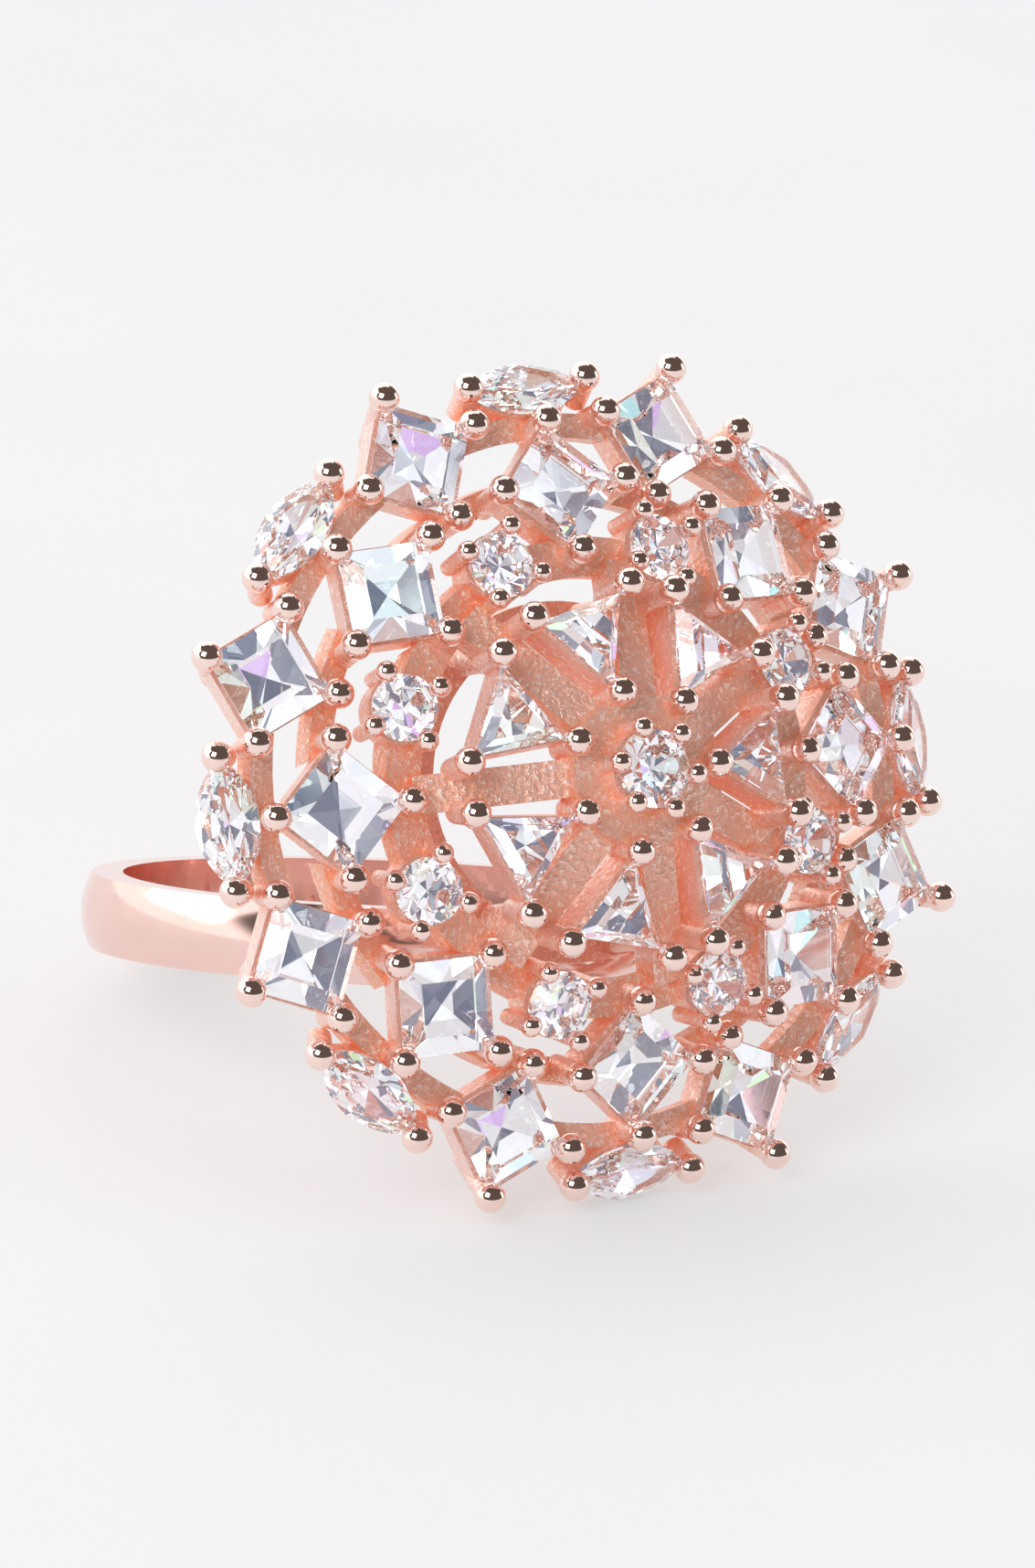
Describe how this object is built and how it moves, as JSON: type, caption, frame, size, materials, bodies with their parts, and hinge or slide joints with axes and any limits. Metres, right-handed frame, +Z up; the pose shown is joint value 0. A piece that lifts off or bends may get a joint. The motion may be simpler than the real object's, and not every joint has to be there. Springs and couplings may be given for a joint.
{
  "type": "cocktail ring",
  "caption": "Domed open-work cluster ring for a finger: colourless cut stones in bead prongs on a rose-gold lattice, over a plain closed shank.",
  "frame": {"origin": "on the table, under the middle of the resting ring's own box", "axes": "+Z up from the table; the head faces -Y and leans back; X runs left to right across the head"},
  "size_m": [0.0254, 0.025, 0.0235],
  "materials": {
    "polished_rose_gold": "mirror-polished rose-gold plate",
    "cast_rose_gold": "as-cast grainy rose-gold plate",
    "prong_rose_gold": "polished beads over satin rose-gold plate",
    "clear_stone": "faceted and polished, colourless"
  },
  "bodies": {
    "root": {"shank": "polished_rose_gold", "gallery": "cast_rose_gold", "lattice": "cast_rose_gold", "centre_setting": "prong_rose_gold", "trillion_settings": "prong_rose_gold", "round_settings": "prong_rose_gold", "inner_princess_settings": "prong_rose_gold", "outer_princess_settings": "prong_rose_gold", "marquise_settings": "prong_rose_gold", "centre_stone": "clear_stone", "trillion_stone_1": "clear_stone", "trillion_stone_2": "clear_stone", "trillion_stone_3": "clear_stone", "trillion_stone_4": "clear_stone", "trillion_stone_5": "clear_stone", "trillion_stone_6": "clear_stone", "trillion_stone_7": "clear_stone", "round_stone_1": "clear_stone", "round_stone_2": "clear_stone", "round_stone_3": "clear_stone", "round_stone_4": "clear_stone", "round_stone_5": "clear_stone", "round_stone_6": "clear_stone", "round_stone_7": "clear_stone", "round_stone_8": "clear_stone", "inner_princess_stone_1": "clear_stone", "inner_princess_stone_2": "clear_stone", "inner_princess_stone_3": "clear_stone", "inner_princess_stone_4": "clear_stone", "inner_princess_stone_5": "clear_stone", "inner_princess_stone_6": "clear_stone", "inner_princess_stone_7": "clear_stone", "inner_princess_stone_8": "clear_stone", "outer_princess_stone_1": "clear_stone", "outer_princess_stone_2": "clear_stone", "outer_princess_stone_3": "clear_stone", "outer_princess_stone_4": "clear_stone", "outer_princess_stone_5": "clear_stone", "outer_princess_stone_6": "clear_stone", "outer_princess_stone_7": "clear_stone", "outer_princess_stone_8": "clear_stone", "marquise_stone_1": "clear_stone", "marquise_stone_2": "clear_stone", "marquise_stone_3": "clear_stone", "marquise_stone_4": "clear_stone", "marquise_stone_5": "clear_stone", "marquise_stone_6": "clear_stone", "marquise_stone_7": "clear_stone", "marquise_stone_8": "clear_stone"}
  },
  "joints": []
}
